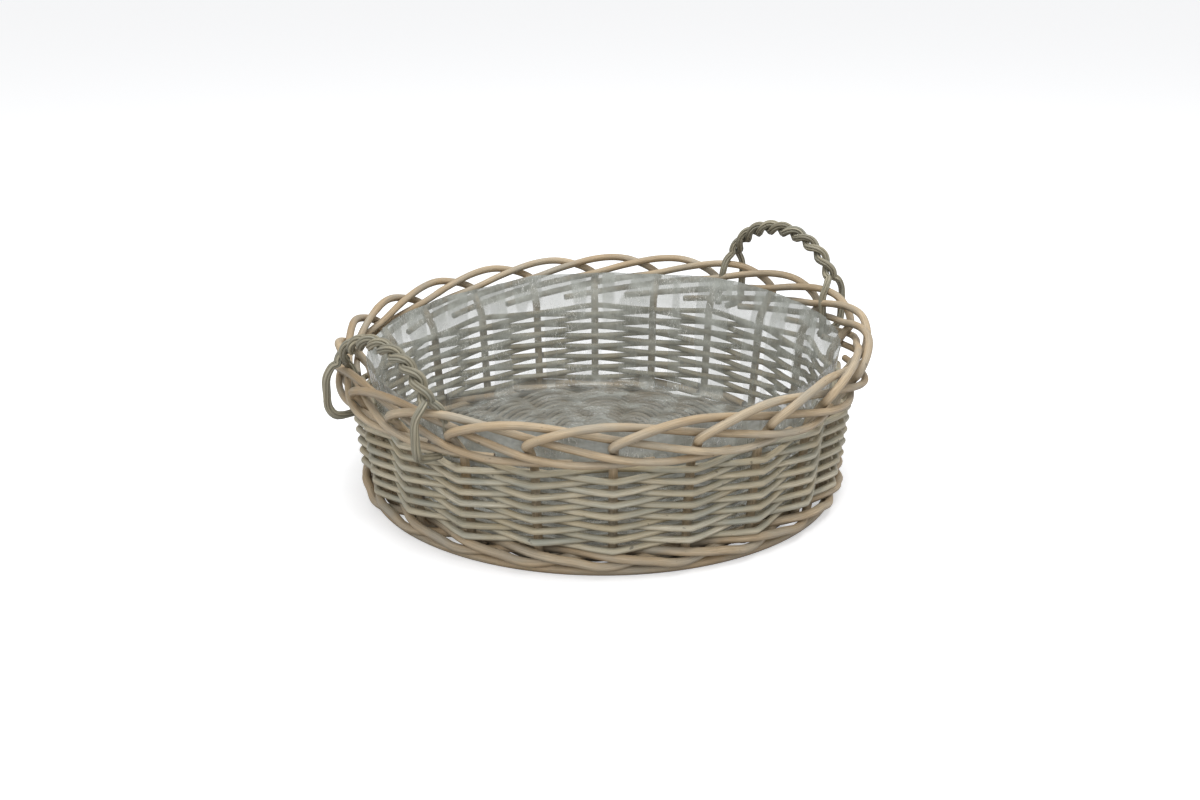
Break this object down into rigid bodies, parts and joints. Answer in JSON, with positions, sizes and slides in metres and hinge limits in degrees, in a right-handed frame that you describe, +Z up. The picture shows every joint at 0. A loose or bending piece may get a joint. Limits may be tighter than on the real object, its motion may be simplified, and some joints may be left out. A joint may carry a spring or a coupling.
{
  "type": "round willow garden trug",
  "caption": "Round shallow willow trug with a rolled woven rim, roped ear handles at two sides and a clear film liner.",
  "frame": {"origin": "middle of the foot, on the surface that the trug stands on", "axes": "+Z up, the two handles at the ends of X, the higher one at +X"},
  "size_m": [0.4642, 0.4499, 0.1915],
  "materials": {
    "stake_willow": "satin",
    "weaver_willow": "satin",
    "base_willow": "matte",
    "rope_willow": "satin",
    "film": "gloss"
  },
  "bodies": {
    "root": {"foot_ring": "stake_willow", "base_sticks": "base_willow", "base_cross_sticks": "base_willow", "base_weave_lower": "base_willow", "base_weave_upper": "base_willow", "stake_01": "stake_willow", "stake_02": "stake_willow", "stake_03": "stake_willow", "stake_04": "stake_willow", "stake_05": "stake_willow", "stake_06": "stake_willow", "stake_07": "stake_willow", "stake_08": "stake_willow", "stake_09": "stake_willow", "stake_10": "stake_willow", "stake_11": "stake_willow", "stake_12": "stake_willow", "stake_13": "stake_willow", "stake_14": "stake_willow", "stake_15": "stake_willow", "stake_16": "stake_willow", "stake_17": "stake_willow", "stake_18": "stake_willow", "stake_19": "stake_willow", "stake_20": "stake_willow", "stake_21": "stake_willow", "stake_22": "stake_willow", "wale_rod_1": "stake_willow", "wale_rod_2": "stake_willow", "wale_rod_3": "stake_willow", "rand_row_01": "weaver_willow", "rand_row_02": "weaver_willow", "rand_row_03": "weaver_willow", "rand_row_04": "weaver_willow", "rand_row_05": "weaver_willow", "rand_row_06": "weaver_willow", "rand_row_07": "weaver_willow", "rand_row_08": "weaver_willow", "rand_row_09": "weaver_willow", "rand_row_10": "weaver_willow", "rand_row_11": "weaver_willow", "rand_row_12": "weaver_willow", "rand_row_13": "weaver_willow", "rand_row_14": "weaver_willow", "handle_right_strand_1": "rope_willow", "handle_right_strand_2": "rope_willow", "handle_left_strand_1": "rope_willow", "handle_left_strand_2": "rope_willow", "liner": "film"}
  },
  "joints": []
}
